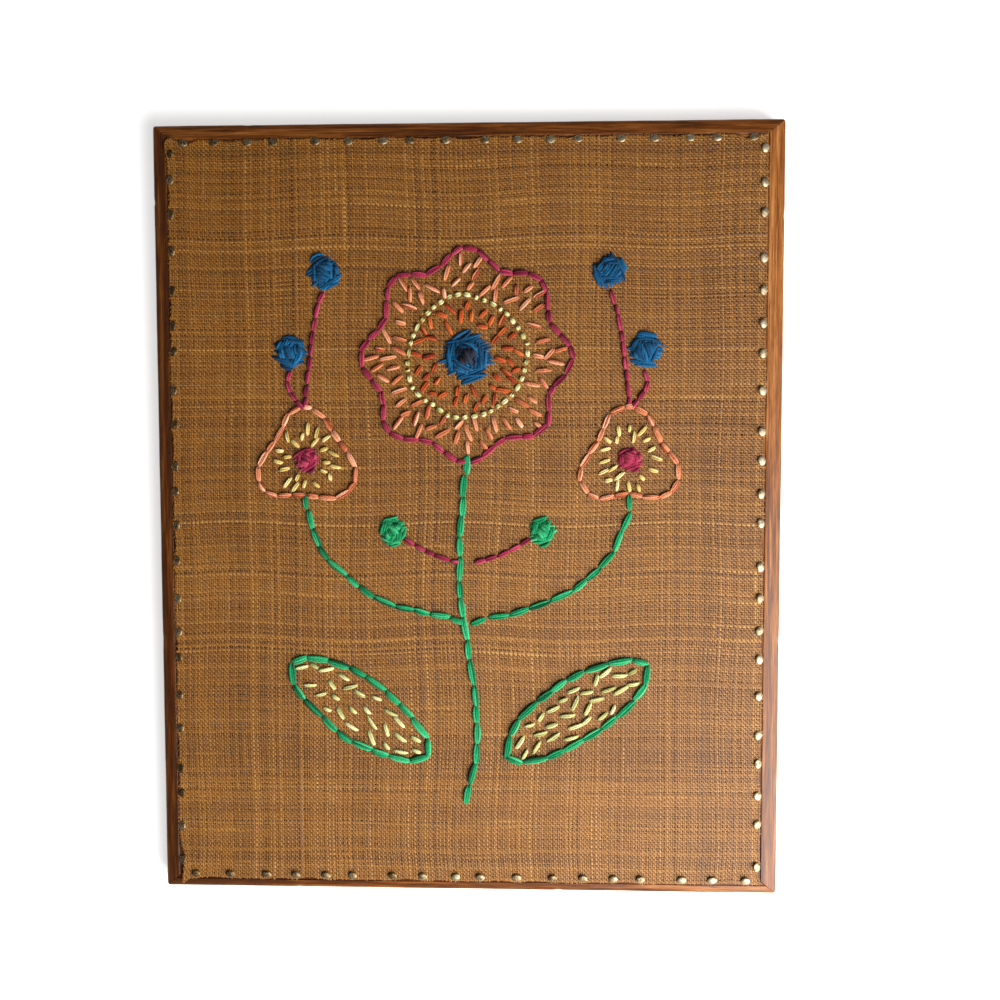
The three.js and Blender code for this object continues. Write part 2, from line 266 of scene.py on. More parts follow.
def burlap_material(name):
    """Golden jute: every thread has its own tone, with fibres along it and paler slubs."""
    nodes = Nodes(name)
    tone = nodes.attribute("tone")
    along = nodes.uv("Thread")
    mottled = nodes.noise(object_place(nodes), 420.0, 4.0, 0.7)
    patchy = nodes.noise(object_place(nodes), 26.0, 3.0, 0.6)
    value = nodes.math("ADD", tone, nodes.spread(mottled, -0.34, 0.34))
    value = nodes.math("ADD", value, nodes.spread(patchy, -0.12, 0.12))
    base = nodes.ramp(value, [
        (0.05, (0.085, 0.028, 0.002)),
        (0.35, (0.190, 0.070, 0.005)),
        (0.62, (0.300, 0.118, 0.012)),
        (0.95, (0.460, 0.225, 0.050)),
    ])
    nodes.colour(base)
    fibres = nodes.noise(nodes.mapped(along, (9.0, 1.1, 1.0)), 1.0, 3.0, 0.7, 0.4)
    nodes.bump(fibres, 0.6, 0.0003)
    nodes.set(Roughness=0.8, Specular_IOR_Level=0.05, Coat_Weight=1.0, Coat_Roughness=0.5)
    return nodes.material


def wool_material(name, dark, middle, light):
    """Soft spun wool: strands vary in depth of colour, with fine fibres along them."""
    nodes = Nodes(name)
    tone = nodes.attribute("tone")
    cloudy = nodes.noise(object_place(nodes), 700.0, 3.0, 0.7)
    value = nodes.math("ADD", tone, nodes.spread(cloudy, -0.32, 0.32))
    nodes.colour(nodes.ramp(value, [(0.1, dark), (0.5, middle), (0.92, light)]))
    strand = nodes.uv("Strand")
    twist = nodes.noise(nodes.mapped(strand, (10.0, 1.3, 1.0)), 1.0, 3.0, 0.7, 0.6)
    nodes.bump(twist, 0.9, 0.0005)
    nodes.set(Roughness=0.92, Specular_IOR_Level=0.2, Sheen_Weight=0.1, Sheen_Roughness=0.5)
    return nodes.material


def steel_material():
    """Dull plated steel with a cream cast, tarnished in spots, and darker towards the left where its tone
    carries painted shade.
    """
    nodes = Nodes("tack_steel")
    place = object_place(nodes)
    spots = nodes.noise(place, 650.0, 5.0, 0.7)
    scuffs = nodes.noise(place, 2600.0, 3.0, 0.6)
    nodes.colour(nodes.ramp(nodes.math("ADD", spots, nodes.attribute("tone")), [
        (0.30, (0.11, 0.060, 0.022)),
        (0.44, (0.30, 0.215, 0.115)),
        (0.62, (0.52, 0.45, 0.32)),
    ]))
    nodes.join(nodes.spread(scuffs, 0.46, 0.68), nodes.shader.inputs["Roughness"])
    nodes.bump(scuffs, 0.25, 0.0002)
    nodes.set(Metallic=1.0)
    return nodes.material


def hardboard_material():
    """Smooth pressed board with a hard polished face and fine fibres in its colour."""
    nodes = Nodes("hardboard")
    place = object_place(nodes)
    fibres = nodes.noise(nodes.mapped(place, (700.0, 260.0, 500.0)), 1.0, 5.0, 0.7, 1.2)
    clouds = nodes.noise(place, 14.0, 3.0, 0.6)
    value = nodes.math("ADD", nodes.math("MULTIPLY", fibres, 0.6), nodes.math("MULTIPLY", clouds, 0.4))
    nodes.colour(nodes.ramp(value, [
        (0.30, (0.030, 0.015, 0.007)),
        (0.50, (0.060, 0.031, 0.014)),
        (0.72, (0.105, 0.058, 0.028)),
    ]))
    nodes.join(nodes.spread(fibres, 0.14, 0.26), nodes.shader.inputs["Roughness"])
    nodes.bump(fibres, 0.08, 0.0001)
    return nodes.material


def floor_material():
    nodes = Nodes("floor")
    nodes.set(Base_Color=(0.9, 0.9, 0.9, 1.0), Roughness=0.8)
    nodes.set(Emission_Color=(1.0, 1.0, 1.0, 1.0), Emission_Strength=0.6)
    return nodes.material


# Mesh helpers

def mesh_piece(name, points, faces, material, nodes=(), attributes=None, uvs=None):
    """A piece from arrays in millimetres. attributes and uvs hold values per point, by name."""
    mesh = bpy.data.meshes.new(name)
    mesh.from_pydata(np.asarray(points) * MM, [], [tuple(face) for face in faces])
    mesh.shade_smooth()
    for key, values in (attributes or {}).items():
        values = np.asarray(values, dtype=np.float32)
        kind, field = ("FLOAT_VECTOR", "vector") if values.ndim == 2 else ("FLOAT", "value")
        layer = mesh.attributes.new(key, kind, "POINT")
        layer.data.foreach_set(field, values.ravel())
    corner = np.empty(len(mesh.loops), dtype=np.int64)
    mesh.loops.foreach_get("vertex_index", corner)
    for key, values in (uvs or {}).items():
        layer = mesh.uv_layers.new(name=key)
        layer.uv.foreach_set("vector", np.asarray(values, dtype=np.float32)[corner].ravel())
    mesh.materials.append(material)
    piece = bpy.data.objects.new(name, mesh)
    bpy.context.scene.collection.objects.link(piece)
    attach(piece, "root")
    if nodes:
        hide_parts(*nodes)
    return piece


def plan_uv(points):
    """The whole face laid flat on one square, for baked colour."""
    points = np.asarray(points)
    return points[:, :2] / FRAME_HEIGHT + 0.5


def grid_faces(rows, columns, closed=False):
    """Quads of a grid of points, row after row. closed joins the last column to the first."""
    spans = columns if closed else columns - 1
    row, column = np.meshgrid(np.arange(rows - 1), np.arange(spans), indexing="ij")
    following = (column + 1) % columns
    quads = [row * columns + column, row * columns + following]
    quads += [(row + 1) * columns + following, (row + 1) * columns + column]
    return np.stack(quads, axis=-1).reshape(-1, 4)


# Side frames

def from_side(side, along, inward):
    """Plan places of points given along a side and inward from its outer edge."""
    spread = FRAME_HEIGHT if side["turn"] % 2 == 0 else FRAME_WIDTH
    y = inward - spread / 2
    turned = [(along, y), (-y, along), (-along, -y), (y, -along)]
    return turned[side["turn"]]


def to_side(side, x, y):
    """The reverse of from_side."""
    spread = FRAME_HEIGHT if side["turn"] % 2 == 0 else FRAME_WIDTH
    turned = [(x, y), (y, -x), (-x, -y), (-y, x)]
    along, inward = turned[side["turn"]]
    return along, inward + spread / 2


def lip_width(side):
    return side["lip"]


def tack_places(side):
    start = side["across"] * MEAN_LIP_SHARE + TACK_FROM_CORNER - side["span"] / 2
    index = np.arange(side["tacks"] - 1)
    swing = TACK_SPACING_SWING * np.sin(SPACING_RATE * index + side["phase"])
    gaps = 1 + swing * np.cos(SPACING_DRIFT_RATE * index)
    return start - 2 * start * np.concatenate([[0.0], np.cumsum(gaps)]) / gaps.sum()


# Frame bars

def rounded_section(corners):
    """Section with each (x, y, radius) corner drawn as an arc, and long flats given extra points."""
    count = len(corners)
    outline = []
    for i, (x, y, radius) in enumerate(corners):
        here = np.array([x, y])
        to_before = np.array(corners[i - 1][:2]) - here
        to_after = np.array(corners[(i + 1) % count][:2]) - here
        start = here + to_before / np.linalg.norm(to_before) * radius
        end = here + to_after / np.linalg.norm(to_after) * radius
        for share in np.linspace(0, 1, 5):
            outline.append((1 - share) ** 2 * start + 2 * share * (1 - share) * here + share ** 2 * end)
    dense = []
    for i, point in enumerate(outline):
        following = outline[(i + 1) % len(outline)]
        pieces = max(1, int(np.linalg.norm(following - point) / 2.2))
        for step in range(pieces):
            dense.append(point + (following - point) * step / pieces)
    return np.array(dense)


BAR_CORNER_ROUND = 3.6
BAR_STATIONS = 150
END_CROWDING = 1.5
FACE_WAVE = 0.09
FACE_WAVE_REACH = 3.0
LIP_WAVE = 0.14
WEAR_REACH = 0.9

# Chips at the outer top edge of each bar: place along it, reach and depth
CHIP_REACH_IN = 2.4
CHIP_REACH_DOWN = 2.6
CHIP_DROP = 0.7
CHIPS = {
    "right": [(203.0, 1.6, 0.9), (171.0, 1.6, 0.4), (-88.0, 2.0, 0.4)],
    "bottom": [(-120.0, 2.4, 0.3), (64.0, 1.8, 0.4)],
    "left": [(90.0, 2.5, 0.3), (-215.0, 1.5, 0.4)],
    "top": [(150.0, 2.0, 0.3)],
}


def uneven(along, seed):
    """Slow waviness along a bar, from minus one to one."""
    waves = [(0.011, 1.0), (0.029, 0.6), (0.083, 0.35)]
    total = 0
    for k, (rate, size) in enumerate(waves):
        total = total + size * np.sin(along * rate * 2 * math.pi + seed * (k + 1.7))
    return total / sum(size for _, size in waves)


def frame_bar(side, material):
    """One mitred bar with rounded edges and corners, slight waviness, chips and rubbed edges."""
    width = side["width"]
    lip = lip_width(side)
    wall = width * (1 - REBATE_SHARE)
    outer_top = FRAME_DEPTH - LIP_FALL
    corners = [
        (0, 0, 0.8), (wall, 0, 0.4), (wall, REBATE_HEIGHT, 0.2), (width, REBATE_HEIGHT, 0.4),
        (width, LEDGE_SEEN, 0.6), (lip, LEDGE_SEEN, 0.2), (lip, LIP_TOP_SEEN, 0.8), (0, outer_top, 1.9),
    ]
    section = rounded_section(corners)
    mitre = side["across"] / width
    end_gap = MITRE_GAP / 2 * math.hypot(1, mitre)
    ease = np.linspace(-1, 1, BAR_STATIONS)
    share = np.sign(ease) * (1 - (1 - np.abs(ease)) ** END_CROWDING)
    half = side["span"] / 2 - section[:, 0] * mitre - end_gap
    along = share[:, None] * half[None, :]
    inward = np.repeat(section[None, :, 0], BAR_STATIONS, axis=0)
    height = np.repeat(section[None, :, 1], BAR_STATIONS, axis=0)

    # Plan corners are rounded, so the outer face turns in near each end
    past = np.clip(np.abs(along) - (side["span"] / 2 - BAR_CORNER_ROUND), 0, BAR_CORNER_ROUND)
    inward = np.maximum(inward, BAR_CORNER_ROUND - np.sqrt(BAR_CORNER_ROUND ** 2 - past ** 2))

    # Waviness of the outer face and of the lip
    outside = np.exp(-inward / FACE_WAVE_REACH)
    raised = np.clip((height - LEDGE_HEIGHT) / (FRAME_DEPTH - LEDGE_HEIGHT), 0, 1)
    inward = inward + FACE_WAVE * outside * (1 + uneven(along, side["phase"]))
    height = height - LIP_WAVE * raised * (1 + uneven(along + 37.0, side["phase"] + 2.0))

    # Chips at the outer top edge
    chipped = np.zeros_like(along)
    for place, reach, depth in CHIPS[side["side"]]:
        distance = ((along - place) / reach) ** 2 + (inward / CHIP_REACH_IN) ** 2
        cut = np.exp(-distance - ((height - outer_top) / CHIP_REACH_DOWN) ** 2)
        chipped += cut
        inward = inward + depth * cut
        height = height - CHIP_DROP * depth * cut

    corner_points = np.array([[0.3, outer_top - 0.3], [0.2, 0.2]])
    nearest = np.min(np.linalg.norm(section[:, None, :] - corner_points[None], axis=2), axis=1)
    wear = np.repeat(np.exp(-nearest / WEAR_REACH)[None], BAR_STATIONS, axis=0)
    wear = wear * (0.55 + 0.45 * uneven(along + 11.0, side["phase"] + 4.0)) + chipped
    x, y = from_side(side, along, inward)
    points = np.stack([x, y, height], axis=-1).reshape(-1, 3)
    grain = np.stack([along * MM + side["phase"], inward * MM, height * MM], axis=-1).reshape(-1, 3)
    columns = len(section)
    faces = [tuple(face[::-1]) for face in grid_faces(BAR_STATIONS, columns, closed=True)]
    faces.append(tuple(range(columns)))
    faces.append(tuple(range(columns * (BAR_STATIONS - 1), columns * BAR_STATIONS))[::-1])
    name = f"bar_{side['side']}"
    run = x if side["turn"] % 2 == 0 else y
    # Tone runs from one end of the bar to the other: partly the wood's own tone, partly painted shade at
    # the left and lower left and painted light at the right
    tone = np.interp(run, (-side["span"] / 2, side["span"] / 2), side["tone"])
    attributes = {"grain": grain, "wear": wear.ravel(), "tone": tone.ravel()}
    return mesh_piece(name, points, faces, material, [f"frame_{side['side']}"], attributes)


# Tacks

TACK_SIDES = 20
TACK_NARROWING = 0.9
TACK_OVAL = 0.05
TACK_LEAN = 0.07
TACK_TONE = (-0.03, 0.04)
# Tacks are drawn darker the further left they stand: painted shade, for heads that the light from the
# right leaves dim
TACK_PAINTED_SHADE_SLOPE = 0.2
ANY_TURN = 6.3
DENT_DEPTH = 0.25
DENT_PLACE = 1.5
DENT_REACH = 1.1
TACK_PROFILE = [
    (0.0, -TACK_SHANK_LENGTH), (0.55, -TACK_SHANK_LENGTH + 1.0),
    (TACK_SHANK_RADIUS, -TACK_SHANK_LENGTH + 1.4),
    (TACK_SHANK_RADIUS, -0.1), (2.0, 0.05), (3.07, 0.0), (3.3, 0.12), (3.28, 0.3), (3.08, 0.55),
    (2.6, 0.86), (1.92, 1.1), (1.05, 1.25), (0.0, 1.3),
]


def tack_row(side, material):
    """All tacks of one side: domed heads with a turned rim, leaning outward and dented a little."""
    rng = np.random.default_rng(40 + side["turn"])
    profile = np.array(TACK_PROFILE)
    angle = np.arange(TACK_SIDES) * 2 * math.pi / TACK_SIDES
    ring_faces = grid_faces(len(profile), TACK_SIDES, closed=True)
    points, faces, tones = [], [], []
    for index, place in enumerate(tack_places(side)):
        tilt = TACK_TILT + TACK_TILT_SWING * math.sin(TILT_RATE * index + side["phase"])
        reach = profile[:, 0][:, None] * np.ones(TACK_SIDES)[None]
        head = profile[:, 1][:, None] > 0
        oval = 1 + head * TACK_OVAL * np.cos(2 * angle[None] + rng.uniform(0, ANY_TURN))
        dent_depth = rng.uniform(0, DENT_DEPTH)
        dent_turn = rng.uniform(0, ANY_TURN)
        dent_from = (reach * np.cos(angle - dent_turn) - DENT_PLACE) / DENT_REACH
        dent = head * dent_depth * np.exp(-dent_from ** 2)
        sideways = reach * oval * np.cos(angle)[None]
        inward = reach * oval * TACK_NARROWING * np.sin(angle)[None]
        rise = profile[:, 1][:, None] - dent
        lean = rng.normal(0, TACK_LEAN)
        turned_in = inward * math.cos(tilt) - rise * math.sin(tilt)
        turned_up = inward * math.sin(tilt) + rise * math.cos(tilt)
        along = place + sideways + lean * turned_up
        base = TACK_SEAT + TACK_RADIUS * math.sin(tilt)
        x, y = from_side(side, along, side["line"] + turned_in)
        faces.append(ring_faces + len(points) * len(profile) * TACK_SIDES)
        points.append(np.stack([x, y, base + turned_up], axis=-1).reshape(-1, 3))
        tarnish = rng.normal(*TACK_TONE)
        # Random tarnish, plus painted shade that darkens the heads towards the left
        tones.append(np.full(x.size, TACK_PAINTED_SHADE_SLOPE * x.mean() / FRAME_WIDTH + tarnish))
    nodes = [f"tack_{side['side']}_{i + 1}" for i in range(0, side["tacks"], 2)]
    name = f"tacks_{side['side']}"
    attributes = {"tone": np.concatenate(tones)}
    points = np.concatenate(points)
    faces = np.concatenate(faces)
    return mesh_piece(name, points, faces, material, nodes, attributes)


# Cloth

def edge_table(side):
    """How far each bay between tacks draws back, along one side: places and sizes."""
    corner = side["span"] / 2 - side["across"] * MEAN_LIP_SHARE - CLOTH_FROM_LIP - SCALLOP_DEPTH
    stops = np.concatenate([[-corner], tack_places(side), [corner]])
    places, sizes = [], []
    for bay in range(len(stops) - 1):
        size = SCALLOP_MEAN + SCALLOP_SWING * math.sin(SCALLOP_RATE * bay + side["phase"])
        share = np.linspace(0, 1, 9)[:-1]
        places.append(stops[bay] + share * (stops[bay + 1] - stops[bay]))
        sizes.append(size * np.sin(math.pi * share))
    return np.concatenate(places), np.concatenate(sizes)


EDGE_TABLES = [edge_table(side) for side in SIDES]

# Places where the edge strays: a loose flap, a drawn-back bay, a rounded corner and two notches
EDGE_SPOTS = [
    {"x": -206.0, "y": -260.0, "reach": 8.0, "out": (2.0, -2.4), "lift": 2.6},
    {"x": -207.0, "y": -245.0, "reach": 7.0, "out": (3.4, 0.0), "lift": -0.2},
    {"x": -203.0, "y": 254.0, "reach": 8.0, "out": (-2.0, 2.0), "lift": 1.7},
    {"x": -208.0, "y": 259.0, "reach": 5.0, "out": (2.8, -2.8), "lift": 0.0},
    {"x": -192.5, "y": 258.0, "reach": 4.6, "out": (0.0, -4.4), "lift": -0.4},
    {"x": 190.0, "y": 258.0, "reach": 5.0, "out": (0.0, -3.4), "lift": -0.4},
]


def laid_on_frame(x, y):
    """Moves flat cloth places to where the tacks hold them, and gives their height above the sheet."""
    moved_x, moved_y = x.copy(), y.copy()
    lift = 0.25 * np.sin(x * 0.021 + 0.4) * np.sin(y * 0.017 + 1.1)
    free = np.ones_like(x)
    for side, (places, sizes) in zip(SIDES, EDGE_TABLES):
        along, inward = to_side(side, x, y)
        depth = inward - lip_width(side) - CLOTH_FROM_LIP
        free = np.minimum(free, np.clip(depth / BOW_MARGIN, 0, 1))
        swell = np.interp(along, places, sizes)
        draw = SCALLOP_DEPTH * swell * np.exp(-np.maximum(depth, 0) / SCALLOP_REACH)
        shift_x, shift_y = from_side(side, along, inward + draw)
        moved_x += shift_x - x
        moved_y += shift_y - y
        lift += EDGE_LIFT * swell * np.exp(-np.maximum(depth, 0) / LIFT_REACH)
        lift += EDGE_CURL * np.exp(-np.maximum(depth, 0) / CURL_REACH)
    for spot in EDGE_SPOTS:
        near = np.exp(-((x - spot["x"]) ** 2 + (y - spot["y"]) ** 2) / spot["reach"] ** 2)
        moved_x += spot["out"][0] * near
        moved_y += spot["out"][1] * near
        lift += spot["lift"] * near
    moved_x += BOW * free * np.sin(y * 0.037 + 0.6) * np.cos(x * 0.013)
    moved_y += BOW * free * np.sin(x * 0.041 + 1.9) * np.cos(y * 0.011 + 0.5)
    return moved_x, moved_y, lift


def thread_set(rng, count, half):
    """Places of parallel threads across the sheet, with widths and tones of their own."""
    pitch = 2 * half / count
    places = -half + pitch * (np.arange(count) + 0.5) + rng.normal(0, THREAD_STRAY * pitch, count)
    thickness = np.clip(rng.normal(1.0, THICKNESS_SWING, count), *THICKNESS_RANGE)
    tone = rng.normal(*THREAD_TONE, count)
    return places, thickness, tone


def slubs(rng, count, along):
    """Thicker, paler lengths that some threads have."""
    swell = np.zeros((count, len(along)))
    for thread in range(count):
        for _ in range(rng.poisson(SLUBS_A_THREAD)):
            middle = rng.uniform(along[0], along[-1])
            reach = rng.uniform(*SLUB_REACH)
            swell[thread] += rng.uniform(*SLUB_SWELL) * np.exp(-((along - middle) / reach) ** 2)
    return swell


def woven_threads(rng, upright, places, thickness, tone, others, half_along, fullness):
    """One direction of the weave as ribbons with one crossing a step: points, faces and attributes."""
    count = len(places)
    along = np.concatenate([[-half_along], others, [half_along]])
    steps = len(along)
    swell = slubs(rng, count, along)
    wander = np.cumsum(rng.normal(0, WANDER_STEP, (count, steps)), axis=1)
    wander -= wander.mean(axis=1, keepdims=True)
    wander = np.clip(wander, -MOST_WANDER, MOST_WANDER)
    across = places[:, None] + wander
    run = np.repeat(along[None], count, axis=0)
    run[:, 0] -= rng.exponential(FRINGE, count).clip(0, MOST_FRINGE)
    run[:, -1] += rng.exponential(FRINGE, count).clip(0, MOST_FRINGE)
    half = 0.5 * THREAD_PITCH * fullness * thickness[:, None] * (1 + swell)
    half = half * (1 + WIDTH_SWING * rng.normal(0, 1, (count, steps)))
    over = 1 - 2 * ((np.arange(count)[:, None] + np.arange(steps)[None]) % 2)
    crimp = (over if upright else -over) * THREAD_CRIMP
    edges = []
    for sign in (-1, 1):
        edge = across + sign * half
        x, y = (edge, run) if upright else (run, -sign * half + across)
        x, y, lift = laid_on_frame(x + CLOTH_CENTRE[0], y + CLOTH_CENTRE[1])
        edges.append(np.stack([x, y, CLOTH_MIDDLE + crimp + lift], axis=-1))
    points = np.stack(edges, axis=2).reshape(-1, 3)
    first = (np.arange(count)[:, None] * steps + np.arange(steps - 1)[None]).ravel() * 2
    faces = np.stack([first, first + 1, first + 3, first + 2], axis=-1)
    shade = np.repeat((tone[:, None] + SLUB_PALENESS * swell).ravel(), 2)
    thread_uv = np.stack([np.tile([0.0, 1.0], count * steps), np.repeat(run.ravel(), 2)], axis=-1)
    return points, faces, shade, thread_uv


def round_normals(piece, upright, count):
    """Normals that lean out at both edges of each ribbon, so that a thread is shaded as round."""
    lean = THREAD_ROUNDNESS
    up = math.sqrt(1 - lean ** 2)
    pair = [(-lean, 0, up), (lean, 0, up)] if upright else [(0, lean, up), (0, -lean, up)]
    piece.data.normals_split_custom_set_from_vertices(np.tile(pair, (count // 2, 1)).tolist())


def burlap():
    """The sheet as it is woven: upright and level threads that pass over and under one another."""
    rng = np.random.default_rng(11)
    half_width = CLOTH_HALF_WIDTH
    half_height = CLOTH_HALF_HEIGHT
    uprights = thread_set(rng, round(2 * half_width / THREAD_PITCH), half_width)
    levels = thread_set(rng, round(2 * half_height / THREAD_PITCH), half_height)
    for name, upright, own, others, half, fullness in (
        ("cloth_warp", True, uprights, levels[0], half_height, WARP_FULLNESS),
        ("cloth_weft", False, levels, uprights[0], half_width, WEFT_FULLNESS),
    ):
        points, faces, shade, thread_uv = woven_threads(rng, upright, *own, others, half, fullness)
        maps = {"OFBake": plan_uv(points), "Thread": thread_uv}
        material = burlap_material(f"burlap_{name[6:]}")
        nodes = ["cloth"] if name == "cloth_weft" else []
        piece = mesh_piece(name, points, faces, material, nodes, {"tone": shade}, maps)
        round_normals(piece, upright, len(points))


# Wool

STRAND_SIDES = 6
STRAND_RINGS = 8
WOOL_SEAT = 17.1


def strand_tubes(start, end, rng, width, height, strands, bow=0.0):
    """Stitches between plan places: each is a few strands side by side, pinched at both ends."""
    count = len(start)
    share = np.linspace(0, 1, STRAND_RINGS)
    arch = np.sin(math.pi * share)
    chord = end - start
    length = np.linalg.norm(chord, axis=1, keepdims=True)
    forward = chord / length
    sideways = np.stack([-forward[:, 1], forward[:, 0]], axis=-1)
    angle = np.arange(STRAND_SIDES) * 2 * math.pi / STRAND_SIDES
    points, tones, uvs = [], [], []
    thick = width / strands * 0.62
    for strand in range(strands):
        slot = (strand - (strands - 1) / 2) / max(strands - 1, 1)
        spread = (slot * (width - 2 * thick) + rng.normal(0, 0.12 * thick, count))[:, None]
        belly = 0.42 + 0.58 * arch[None] ** 0.7
        bend = (bow * length[:, 0] * rng.normal(0, 1, count))[:, None] * arch[None]
        offset = spread * belly + bend
        inset = rng.normal(0, 0.03, (count, 2))
        run = share[None] * (1 - inset[:, :1] - inset[:, 1:]) + inset[:, :1]
        centre = start[:, None] + chord[:, None] * run[..., None] + sideways[:, None] * offset[..., None]
        middle = 1 - abs(slot) * 0.5
        lift = height * (0.55 + 0.25 * middle) * rng.normal(1, 0.08, count)
        rise = lift[:, None] * arch[None] ** 0.45 - 0.5 * (1 - arch[None] ** 0.3)
        radius = thick * (0.5 + 0.5 * arch[None] ** 0.5) * rng.normal(1, 0.08, count)[:, None]
        ring_across = radius[..., None] * np.cos(angle)
        ring_up = radius[..., None] * np.sin(angle)
        plan = centre[:, :, None] + sideways[:, None, None] * ring_across[..., None]
        up = WOOL_SEAT + rise[..., None] + ring_up
        points.append(np.concatenate([plan, up[..., None]], axis=-1).reshape(count, -1, 3))
        tone = np.clip(rng.normal(0.5, 0.22, count), 0.02, 0.98)
        tones.append(np.repeat(tone, STRAND_RINGS * STRAND_SIDES).reshape(count, -1))
        around = np.tile(np.arange(STRAND_SIDES) / STRAND_SIDES, STRAND_RINGS)
        onward = np.repeat(share, STRAND_SIDES)[None] * length
        uvs.append(np.stack([np.tile(around, (count, 1)), onward], axis=-1))
    per_strand = STRAND_RINGS * STRAND_SIDES
    points = np.concatenate(points).reshape(-1, 3)
    tubes = len(points) // per_strand
    quads = grid_faces(STRAND_RINGS, STRAND_SIDES, closed=True)
    offsets = np.arange(tubes)[:, None, None] * per_strand
    faces = (quads[None] + offsets).reshape(-1, 4)
    ends = [list(range(STRAND_SIDES))[::-1], list(range(per_strand - STRAND_SIDES, per_strand))]
    caps = [tuple(np.array(end_ring) + base) for base in offsets.ravel() for end_ring in ends]
    tones = np.concatenate(tones).ravel()
    uvs = np.concatenate(uvs).reshape(-1, 2)
    return points, [*map(tuple, faces), *caps], tones, uvs


def sewn(name, material, batches, nodes=()):
    """A piece of needlework from several batches of stitches, each as strand_tubes gives them."""
    points, faces, tones, uvs = [], [], [], []
    total = 0
    for batch_points, batch_faces, batch_tones, batch_uvs in batches:
        faces += [tuple(int(i) + total for i in face) for face in batch_faces]
        total += len(batch_points)
        points.append(batch_points)
        tones.append(batch_tones)
        uvs.append(batch_uvs)
    points = np.concatenate(points)
    maps = {"OFBake": plan_uv(points), "Strand": np.concatenate(uvs)}
    return mesh_piece(name, points, faces, material, nodes, {"tone": np.concatenate(tones)}, maps)


def back_stitches(path, rng, length, gap=-0.1, sideways=0.25):
    """Start and end places of stitches along a dense path. A negative gap overlaps neighbours."""
    path = np.asarray(path)
    steps = np.linalg.norm(np.diff(path, axis=0), axis=1)
    walked = np.concatenate([[0], np.cumsum(steps)])
    total = walked[-1]
    number = max(1, round(total / length))
    joints = np.linspace(0, total, number + 1)
    joints[1:-1] += rng.normal(0, 0.09 * length, number - 1)
    starts = joints[:-1] + gap * length / 2
    ends = joints[1:] - gap * length / 2
    spots = []
    for places in (np.clip(starts, 0, total), np.clip(ends, 0, total)):
        spot = np.stack([np.interp(places, walked, path[:, axis]) for axis in (0, 1)], axis=-1)
        spots.append(spot + rng.normal(0, sideways, spot.shape))
    return spots


def by_hand(path, rng, sway=1.1):
    """A drawn line as a hand follows it: it strays slowly to either side and closes where it began."""
    share = np.linspace(0, 2 * math.pi, len(path))
    stray = np.zeros_like(path)
    for wave in (2, 3, 5, 8):
        phase = rng.uniform(0, 2 * math.pi, 2)
        stray += sway / wave ** 0.5 * np.sin(wave * share[:, None] + phase[None])
    return path + stray


def lobed_ring(x, y, radius, lobes=0, depth=0.0, turn=0.0, points=240):
    angle = np.linspace(0, 2 * math.pi, points) + turn
    reach = radius * (1 + depth * np.cos(lobes * (angle - math.pi / 2)))
    return np.stack([x + reach * np.cos(angle), y + reach * np.sin(angle)], axis=-1)


def leaf_ring(x, y, length, width, turn, points=240):
    angle = np.linspace(0, 2 * math.pi, points)
    own = np.stack([length / 2 * np.cos(angle), width / 2 * np.sin(angle)], axis=-1)
    rotate = np.array([[math.cos(turn), math.sin(turn)], [-math.sin(turn), math.cos(turn)]])
    return own @ rotate + np.array([x, y])


def bent_line(first, bend, last, points=120):
    share = np.linspace(0, 1, points)[:, None]
    first, bend, last = map(np.array, (first, bend, last))
    return (1 - share) ** 2 * first + 2 * share * (1 - share) * bend + share ** 2 * last


def swaying_line(bottom, top, sway, points=160):
    share = np.linspace(0, 1, points)
    return np.stack([sway * np.sin(2 * math.pi * share), bottom + (top - bottom) * share], axis=-1)


def mirrored(path, hand):
    return path * np.array([hand, 1.0])


PAD_ROW = 1.9
PAD_YARN = 3.7
PAD_BOW = 0.07


def knot_pad(rng, x, y, radius, height, turns):
    """Crossed layers of short stitches that heap up into a soft round pad."""
    batches = []
    for layer, turn in enumerate(turns):
        reach_out = radius * (1 - 0.2 * layer)
        rows = np.arange(-reach_out * 0.88, reach_out * 0.89, PAD_ROW)
        reach = np.sqrt(np.maximum(reach_out ** 2 - rows ** 2, 4.0)) * rng.uniform(0.84, 1.0, len(rows))
        direction = np.array([math.cos(turn), math.sin(turn)])
        normal = np.array([-direction[1], direction[0]])
        middle = np.array([x, y]) + rows[:, None] * normal + rng.normal(0, 0.35, (len(rows), 2))
        slant = direction + rng.normal(0, 0.1, (len(rows), 2))
        start = middle - slant * reach[:, None]
        end = middle + slant * reach[:, None]
        heap = height * (0.35 + 0.34 * layer)
        batches.append(strand_tubes(start, end, rng, PAD_YARN, heap, 2, bow=PAD_BOW))
    return batches


SEED_TRIES = 4000
SEED_TURN_SWING = 0.42


def seed_places(rng, inside, box, spacing, length, lean):
    """Scattered short stitches inside a region, kept apart and leaning loosely one way."""
    kept = []
    for _ in range(SEED_TRIES):
        spot = np.array([rng.uniform(box[0], box[1]), rng.uniform(box[2], box[3])])
        if not inside(*spot):
            continue
        if any(np.hypot(*(spot - other)) < spacing for other in kept):
            continue
        kept.append(spot)
    kept = np.array(kept)
    angle = np.array([lean(*spot) for spot in kept]) + rng.normal(0, SEED_TURN_SWING, len(kept))
    reach = rng.uniform(0.62, 1.15, len(kept)) * length / 2
    step = np.stack([np.cos(angle), np.sin(angle)], axis=-1) * reach[:, None]
    return kept - step, kept + step


